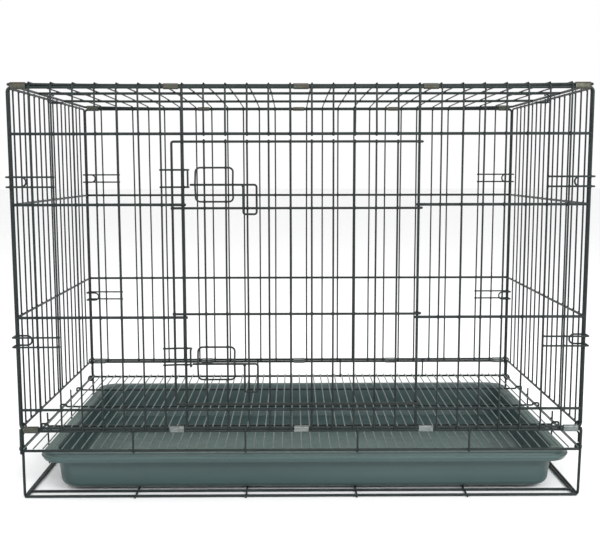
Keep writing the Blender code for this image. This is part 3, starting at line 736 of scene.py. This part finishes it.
def floor_grid(wire_material, coated_material):
    """Close galvanised wires over three dark stiffeners, hooked on the side rails."""
    low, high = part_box("floor_grid")
    z_wire = high.z - FLOOR_R
    places = middles("floor_grid", 0, lambda point: point.z > high.z - 0.0001)
    rows = middles("floor_grid", 1, lambda point: point.z < low.z + 0.0001)
    near, far = Y_FRONT - 0.0004, Y_BACK + 0.0004
    z_stiff = z_wire - FLOOR_R - STIFFENER_R + PRESSED
    wires = Wires()
    for place in places:
        sway = RANDOM.uniform(-0.0004, 0.0004)
        wires.wire(straight((place + sway, near + RANDOM.uniform(-0.0006, 0.0006), z_wire),
                            (place - sway, far, z_wire)), FLOOR_R, sides=10)
        for y in rows:
            wires.weld((place, y, z_wire - FLOOR_R), (0, 1, 0), (1, 0, 0), FLOOR_R, STIFFENER_R)
    wires.piece("floor_wires", "floor_grid", "root", wire_material)
    bars = Wires()
    inner, outer = high.x - 0.0024, BAND_X + RAIL_R + STIFFENER_R
    for y in rows:
        half = [(-outer, y, Z_FLOOR_RAIL - 0.0006), (-outer, y, Z_FLOOR_RAIL + STIFFENER_HOOK),
                (-inner, y, Z_FLOOR_RAIL + STIFFENER_HOOK), (-inner, y, z_stiff)]
        path = half + [(-x, y, z) for x, y, z in reversed(half)]
        bars.wire(bend(path, 0.0020, 4), STIFFENER_R * 0.92)
    bars.piece("floor_stiffeners", "floor_grid", "root", coated_material)


# ---- Tray ---------------------------------------------------------------------------------------
def rounded_ring(centre, half_x, half_y, radius, z, steps=10):
    """Points of a rounded rectangle at one height."""
    points = []
    for sign_x, sign_y, start in ((1, -1, -90), (1, 1, 0), (-1, 1, 90), (-1, -1, 180)):
        corner = Vector((centre.x + sign_x * (half_x - radius), centre.y + sign_y * (half_y - radius), z))
        for step in range(steps + 1):
            angle = math.radians(start + 90 * step / steps)
            points.append(corner + Vector((radius * math.cos(angle), radius * math.sin(angle), 0)))
    return points


def arc_profile(centre, radius, start, end, steps):
    """(inset, height) points of an arc; angle 0 points inwards, 90 up."""
    points = []
    for step in range(steps + 1):
        angle = math.radians(start + (end - start) * step / steps)
        points.append((centre[0] + radius * math.cos(angle), centre[1] + radius * math.sin(angle)))
    return points


def tray_profile(bottom, top):
    """(inset from the rim, height) points: under the bottom, up the outside, down the inside."""
    outer = [(0.150, bottom + 0.0005), (0.060, bottom + 0.0001)]
    outer += arc_profile((0.0330, bottom + 0.0110), 0.0110, -90, -172, 8)
    outer += [(0.0210, bottom + 0.0220), (0.0196, top - 0.0200), (0.0188, top - 0.0150)]
    outer += [(0.0180, top - 0.0138), (0.0164, top - 0.0132)]
    outer += [(0.0062, top - 0.0128), (0.0042, top - 0.0133), (0.0030, top - 0.0129)]
    outer += [(0.0024, top - 0.0117), (0.0007, top - 0.0080), (0.0000, top - 0.0066)]
    outer += [(0.0003, top - 0.0056), (0.0012, top - 0.0050), (0.0026, top - 0.0046)]
    outer += [(0.0033, top - 0.0040), (0.0036, top - 0.0030)]
    outer += [(0.0040, top - 0.0012), (0.0050, top - 0.0003), (0.0066, top)]
    inner = [(0.0150, top - 0.0002), (0.0178, top - 0.0008), (0.0194, top - 0.0024)]
    inner += [(0.0204, top - 0.0060), (0.0222, top - 0.0200), (0.0240, bottom + 0.0220)]
    inner += arc_profile((0.0360, bottom + 0.0130), 0.0112, -172, -92, 8)
    inner += [(0.0600, bottom + 0.0020), (0.150, bottom + 0.0024)]
    return outer + inner


def tray(material):
    """A moulded tray: rolled rim with a step, sloping walls and a rounded edge to its bottom."""
    low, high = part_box("tray")
    centre, half = (low + high) / 2, (high - low) / 2
    profile = tray_profile(low.z, high.z)
    points, faces = [], []
    for inset, height in profile:
        radius = max(0.014, 0.030 - inset * 0.16)
        points += rounded_ring(centre, half.x - inset, half.y - inset, radius, height)
    count = len(points) // len(profile)
    for row in range(len(profile) - 1):
        for number in range(count):
            after = (number + 1) % count
            faces.append((row * count + number, row * count + after,
                          (row + 1) * count + after, (row + 1) * count + number))
    faces.append(tuple(reversed(range(count))))
    faces.append(tuple(range((len(profile) - 1) * count, len(profile) * count)))
    mesh = bpy.data.meshes.new("tray_shell")
    mesh.from_pydata([tuple(point) for point in points], [], faces)
    mesh.shade_smooth()
    mesh.set_sharp_from_angle(angle=math.radians(55))
    place_piece(bpy.data.objects.new("tray_shell", mesh), "tray", "tray", material)


# ---- Materials ----------------------------------------------------------------------------------
class Shading:
    """Short names for the nodes of one procedural material."""

    def __init__(self, name, roughness, metallic):
        self.material = bpy.data.materials.new(name)
        self.material.use_nodes = True
        self.nodes = self.material.node_tree.nodes
        self.links = self.material.node_tree.links
        self.shader = self.nodes["Principled BSDF"]
        self.shader.inputs["Metallic"].default_value = metallic
        self.shader.inputs["Roughness"].default_value = roughness
        self.place = self.nodes.new("ShaderNodeTexCoord").outputs["Object"]

    def noise(self, scale, detail=3.0, stretch=None):
        node = self.nodes.new("ShaderNodeTexNoise")
        node.inputs["Scale"].default_value = scale
        node.inputs["Detail"].default_value = detail
        self.links.new(self.stretched(stretch), node.inputs["Vector"])
        return node.outputs["Fac"]

    def cells(self, scale):
        node = self.nodes.new("ShaderNodeTexVoronoi")
        node.inputs["Scale"].default_value = scale
        self.links.new(self.place, node.inputs["Vector"])
        return node.outputs["Color"]

    def stretched(self, stretch):
        if stretch is None:
            return self.place
        node = self.nodes.new("ShaderNodeMapping")
        node.inputs["Scale"].default_value = stretch
        self.links.new(self.place, node.inputs["Vector"])
        return node.outputs["Vector"]

    def spread(self, value, low, high, to_low=0.0, to_high=1.0):
        node = self.nodes.new("ShaderNodeMapRange")
        limits = {"From Min": low, "From Max": high, "To Min": to_low, "To Max": to_high}
        for socket, number in limits.items():
            node.inputs[socket].default_value = number
        self.links.new(value, node.inputs["Value"])
        return node.outputs["Result"]

    def mix(self, amount, first, second):
        """A colour between two, each a constant or another node's output."""
        node = self.nodes.new("ShaderNodeMix")
        node.data_type = "RGBA"
        self.links.new(amount, node.inputs["Factor"])
        for socket, colour in ((node.inputs["A"], first), (node.inputs["B"], second)):
            if isinstance(colour, tuple):
                socket.default_value = (*colour, 1)
            else:
                self.links.new(colour, socket)
        return node.outputs["Result"]

    def along_y(self):
        split = self.nodes.new("ShaderNodeSeparateXYZ")
        self.links.new(self.place, split.inputs["Vector"])
        return split.outputs["Y"]

    def facing_up(self):
        geometry = self.nodes.new("ShaderNodeNewGeometry")
        split = self.nodes.new("ShaderNodeSeparateXYZ")
        self.links.new(geometry.outputs["Normal"], split.inputs["Vector"])
        return split.outputs["Z"]

    def multiply(self, first, second):
        node = self.nodes.new("ShaderNodeMath")
        node.operation = "MULTIPLY"
        for socket, value in zip(node.inputs, (first, second)):
            if isinstance(value, float):
                socket.default_value = value
            else:
                self.links.new(value, socket)
        return node.outputs["Value"]

    def colour(self, output):
        self.links.new(output, self.shader.inputs["Base Color"])

    def roughness(self, output):
        self.links.new(output, self.shader.inputs["Roughness"])

    def bump(self, height, distance, strength=1.0, under=None):
        node = self.nodes.new("ShaderNodeBump")
        node.inputs["Distance"].default_value = distance
        node.inputs["Strength"].default_value = strength
        self.links.new(height, node.inputs["Height"])
        if under is not None:
            self.links.new(under, node.inputs["Normal"])
        self.links.new(node.outputs["Normal"], self.shader.inputs["Normal"])
        return node.outputs["Normal"]


def coated_wire_material(name, deep, light):
    """Powder coat: orange peel, uneven sheen, dust on top and a few pale rubs."""
    shading = Shading(name, 0.42, 0.0)
    shading.shader.inputs["Specular IOR Level"].default_value = 0.26
    patches = shading.noise(38.0)
    base = shading.mix(shading.spread(patches, 0.35, 0.68), deep, light)
    dust = shading.multiply(shading.spread(shading.facing_up(), 0.3, 1.0, 0.0, 0.40),
                            shading.spread(shading.noise(120.0, 5.0), 0.44, 0.74))
    dusted = shading.mix(dust, base, (0.052, 0.062, 0.058))
    rubs = shading.spread(shading.noise(310.0, 6.0), 0.72, 0.77, 0.0, 0.7)
    shading.colour(shading.mix(rubs, dusted, (0.105, 0.120, 0.115)))
    shading.roughness(shading.spread(shading.noise(85.0, 4.0), 0.3, 0.7, 0.30, 0.52))
    shading.bump(shading.noise(1500.0, 2.0), 0.00010, 0.55)
    return shading.material


def galvanised_material():
    """Dull galvanised wire with fine spangle and darker drawn streaks."""
    shading = Shading("galvanised_wire", 0.40, 0.45)
    grey = shading.nodes.new("ShaderNodeRGBToBW")
    shading.links.new(shading.cells(620.0), grey.inputs["Color"])
    spangle = shading.spread(grey.outputs["Val"], 0.2, 0.8)
    base = shading.mix(spangle, (0.075, 0.104, 0.092), (0.130, 0.168, 0.150))
    streaks = shading.spread(shading.noise(260.0, 4.0, stretch=(1.0, 0.06, 1.0)), 0.42, 0.66, 0.0, 0.45)
    shading.colour(shading.mix(streaks, base, (0.052, 0.074, 0.066)))
    shading.roughness(shading.spread(shading.noise(140.0, 4.0), 0.3, 0.7, 0.30, 0.50))
    shading.bump(shading.noise(1900.0, 2.0), 0.00006, 0.5)
    return shading.material


def clip_material(name, dark, light, stain):
    """Zinc-plated sheet: brushed along its length, with dull patches and darker tarnish."""
    shading = Shading(name, 0.36, 0.80)
    brushed = shading.noise(900.0, 3.0, stretch=(0.05, 1.0, 1.0))
    base = shading.mix(shading.spread(brushed, 0.3, 0.7), dark, light)
    tarnish = shading.spread(shading.noise(110.0, 5.0), 0.46, 0.68, 0.0, 0.8)
    shading.colour(shading.mix(tarnish, base, stain))
    shading.roughness(shading.spread(shading.noise(200.0, 3.0), 0.3, 0.7, 0.28, 0.50))
    shading.bump(brushed, 0.00005, 0.6)
    return shading.material


def tray_material():
    """Moulded plastic: stipple, flow marks, dust, scratches, and painted light on the bottom, paler
    towards the front and fading to painted shade at its back.
    """
    shading = Shading("moulded_tray", 0.40, 0.0)
    shading.shader.inputs["Coat Weight"].default_value = 0.08
    shading.shader.inputs["Specular IOR Level"].default_value = 0.38
    shading.shader.inputs["Coat Roughness"].default_value = 0.25
    flow = shading.noise(7.0, 5.0, stretch=(0.35, 1.0, 2.6))
    base = shading.mix(shading.spread(flow, 0.36, 0.66), (0.034, 0.063, 0.062), (0.045, 0.078, 0.077))
    speckle = shading.spread(shading.noise(2600.0, 2.0), 0.56, 0.74, 0.0, 0.30)
    speckled = shading.mix(speckle, base, (0.062, 0.100, 0.098))
    dust = shading.multiply(shading.spread(shading.facing_up(), 0.5, 1.0, 0.0, 0.18),
                            shading.spread(shading.noise(34.0, 6.0), 0.46, 0.70))
    dusted = shading.mix(dust, speckled, (0.085, 0.130, 0.115))
    # Painted light: the up-facing bottom is painted paler towards the front, fading to painted shade at
    # its back; noise breaks it into patches.
    painted_front_light = shading.multiply(shading.spread(shading.facing_up(), 0.6, 1.0),
                               shading.spread(shading.along_y(), 0.125, 0.010, 0.0, 0.85))
    bottom = shading.multiply(painted_front_light, shading.spread(shading.noise(14.0, 5.0), 0.25, 0.60, 0.55, 1.0))
    # From here dusted holds the dust together with the painted light and shade of the bottom.
    dusted = shading.mix(bottom, dusted, (0.082, 0.136, 0.118))
    scratches = shading.spread(shading.noise(95.0, 6.0, stretch=(0.10, 1.0, 1.0)), 0.70, 0.74, 0.0, 0.35)
    shading.colour(shading.mix(scratches, dusted, (0.110, 0.150, 0.145)))
    shading.roughness(shading.spread(shading.noise(60.0, 5.0), 0.3, 0.7, 0.33, 0.50))
    stipple = shading.bump(shading.noise(1700.0, 2.0), 0.00012, 0.35)
    shading.bump(shading.noise(16.0, 2.0), 0.0009, 0.25, under=stipple)
    return shading.material


# ---- Studio -------------------------------------------------------------------------------------
def plain_material(name, colour, roughness):
    shading = Shading(name, roughness, 0.0)
    shading.colour(shading.mix(shading.noise(1.5), colour, tuple(part * 0.985 for part in colour)))
    return shading.material


LAMPS = (                  # name, place, what it points at, width, height, watts
    ("key", (1.9, -2.0, 1.7), (0.1, -0.1, 0.1), 1.2, 1.0, 44),
    ("fill", (-2.2, -1.9, 1.8), (0, 0, 0.25), 1.4, 1.4, 12),
    ("front_strip", (0.1, -1.5, 0.95), (0.05, -0.2, 0.05), 1.6, 0.20, 9),
    ("top", (0.0, 0.4, 3.0), (0, 0, 0), 2.4, 2.4, 14),
)


def studio():
    """A pale floor, a white surround and soft lights."""
    bpy.ops.mesh.primitive_plane_add(size=30, location=(0, 4, -0.0002))
    floor = bpy.context.object
    floor.name = "studio_floor"
    floor.data.materials.append(plain_material("studio_floor", (0.93, 0.935, 0.935), 0.75))

    world = bpy.data.worlds.new("studio")
    bpy.context.scene.world = world
    world.use_nodes = True
    background = world.node_tree.nodes["Background"]
    background.inputs["Color"].default_value = (1.0, 1.0, 1.0, 1)
    background.inputs["Strength"].default_value = 1.0

    for name, place, target, width, height, power in LAMPS:
        light = bpy.data.lights.new(name, "AREA")
        light.shape = "RECTANGLE"
        light.size, light.size_y, light.energy = width, height, power
        lamp = bpy.data.objects.new(name, light)
        lamp.location = place
        lamp.visible_camera = False
        lamp.rotation_euler = (Vector(target) - Vector(place)).to_track_quat("-Z", "Y").to_euler()
        bpy.context.scene.collection.objects.link(lamp)


def camera():
    """The viewing angle: a little left of the middle, looking slightly down."""
    distance, left, height = 1.1862, -0.0111, 0.4490
    pitch, yaw, roll = 0.1235, -0.0080, -0.0015
    data = bpy.data.cameras.new("camera")
    data.sensor_width = 36.0
    data.lens = 53.8
    data.clip_start, data.clip_end = 0.05, 60.0
    eye = bpy.data.objects.new("camera", data)
    bpy.context.scene.collection.objects.link(eye)
    right = Vector((math.cos(yaw), math.sin(yaw), 0))
    level = Vector((-math.sin(yaw), math.cos(yaw), 0))
    forward = level * math.cos(pitch) - Vector((0, 0, 1)) * math.sin(pitch)
    up = right.cross(forward)
    turned_right = (right + up * roll).normalized()
    turned_up = turned_right.cross(forward).normalized()
    eye.matrix_world = Matrix.Translation((left, Y_FRONT - distance, height)) @ Matrix(
        (turned_right, turned_up, -forward)).transposed().to_4x4()
    bpy.context.scene.camera = eye
    bpy.context.scene.view_settings.view_transform = "Standard"


camera()
studio()
coated = coated_wire_material("coated_wire", (0.0055, 0.0105, 0.0105), (0.0110, 0.0185, 0.0180))
door_coat = coated_wire_material("door_wire_coat", (0.0050, 0.0085, 0.0080), (0.0095, 0.0150, 0.0140))
galvanised = galvanised_material()
front_panel(coated)
closed_panel("back_wires", "back_panel", "root", BACK, ALL_X, BACK_Z, (RAIL_R, UPRIGHT_R), CORNER, coated)
roof_panel(coated)
for end_side, end_sign in (("left", -1), ("right", 1)):
    closed_panel(f"{end_side}_end_wires", f"{end_side}_end_panel", f"{end_side}_end", end_plane(end_sign),
                 END_Y, END_Z, (END_RAIL_R, END_UPRIGHT_R), 0.0050, coated)
    base_frame(end_side, end_sign, coated)
all_hooks(coated)
bright_zinc = clip_material("zinc_sheet", (0.125, 0.142, 0.138), (0.215, 0.238, 0.232),
                            (0.055, 0.062, 0.058))
dull_zinc = clip_material("tarnished_sheet", (0.045, 0.052, 0.040), (0.080, 0.088, 0.070),
                          (0.060, 0.038, 0.030))
all_clips(bright_zinc, dull_zinc)
for eye_side, eye_sign in (("left", -1), ("right", 1)):
    for eye_face in ("front", "back"):
        end_eye(eye_side, eye_sign, eye_face, coated)
door(door_coat)
for latch_level in ("lower", "upper"):
    for latch_piece in (latch_bolt, latch_loop, latch_ring, latch_staple):
        latch_piece(latch_level, door_coat)
base_band("base_front_wires", "base_front_band", FRONT, coated)
base_band("base_back_wires", "base_back_band", BACK, coated)
tray_rack(coated)
floor_grid(galvanised, coated)
tray(tray_material())
